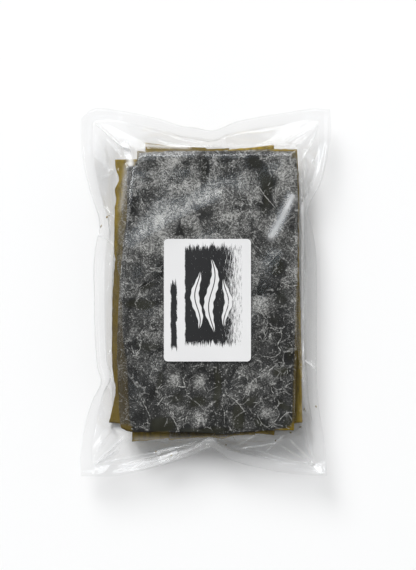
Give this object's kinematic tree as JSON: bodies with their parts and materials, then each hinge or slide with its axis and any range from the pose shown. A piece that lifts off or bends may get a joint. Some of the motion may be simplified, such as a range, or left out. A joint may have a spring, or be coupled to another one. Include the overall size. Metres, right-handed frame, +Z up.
{
  "type": "clear sealed pouch of dried kelp sheets",
  "caption": "Clear sealed film pouch, pillow-shaped, holding a flat stack of dried kelp sheets, with a white rounded label on its front.",
  "frame": {"origin": "centre of the pouch's box in plan, on the surface that it lies on", "axes": "+Z up, out of the labelled front; +Y towards the pouch's top edge; +X to the right as the label is seen"},
  "size_m": [0.2016, 0.2966, 0.0267],
  "materials": {
    "clear_film": "clear glossy film, slightly milky in the welded band",
    "label_paper": "satin white label with black brushed print",
    "dried_kelp": "matt, wrinkled, blackish olive with a white bloom"
  },
  "bodies": {
    "root": {"pouch": "clear_film", "label": "label_paper"}
  },
  "joints": []
}
